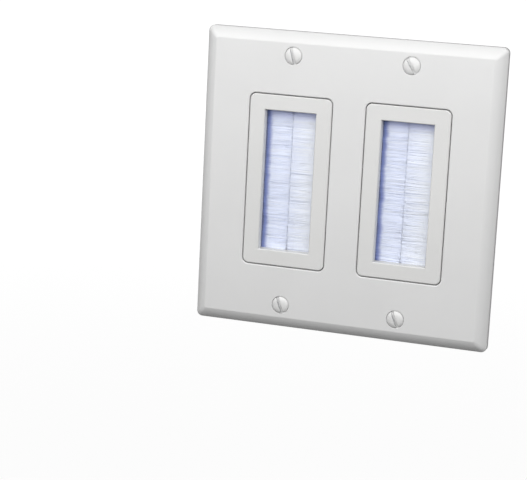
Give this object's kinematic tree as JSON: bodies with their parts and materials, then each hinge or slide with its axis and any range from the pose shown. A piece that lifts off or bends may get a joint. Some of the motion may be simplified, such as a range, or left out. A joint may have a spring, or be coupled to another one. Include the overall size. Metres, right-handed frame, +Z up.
{
  "type": "brush cable grommet",
  "caption": "White two-gang wall plate with a pair of brush inserts: cables pass through rows of soft bristles that meet at the middle of each window.",
  "frame": {"origin": "centre of the four box screw slots, on the wall plane behind the straps", "axes": "+Z up, +Y into the wall, the face of the plate looks towards -Y"},
  "size_m": [0.1168, 0.0122, 0.1152],
  "materials": {
    "plate_plastic": "satin white",
    "insert_plastic": "satin warm white",
    "retainer_plastic": "matt white",
    "painted_screw": "white paint",
    "zinc_plated_steel": "zinc plated",
    "core_wire_steel": "drawn wire",
    "nylon_bristles": "white nylon filament"
  },
  "bodies": {
    "root": {"wall_plate": "plate_plastic", "plate_screw_upper_left": "painted_screw", "plate_screw_upper_right": "painted_screw", "plate_screw_lower_left": "painted_screw", "plate_screw_lower_right": "painted_screw", "left_insert_frame": "insert_plastic", "left_retainer": "retainer_plastic", "left_left_brush_channel": "zinc_plated_steel", "left_left_brush_core_wire": "core_wire_steel", "left_left_brush_bristles": "nylon_bristles", "left_right_brush_channel": "zinc_plated_steel", "left_right_brush_core_wire": "core_wire_steel", "left_right_brush_bristles": "nylon_bristles", "right_insert_frame": "insert_plastic", "right_retainer": "retainer_plastic", "right_left_brush_channel": "zinc_plated_steel", "right_left_brush_core_wire": "core_wire_steel", "right_left_brush_bristles": "nylon_bristles", "right_right_brush_channel": "zinc_plated_steel", "right_right_brush_core_wire": "core_wire_steel", "right_right_brush_bristles": "nylon_bristles"}
  },
  "joints": []
}
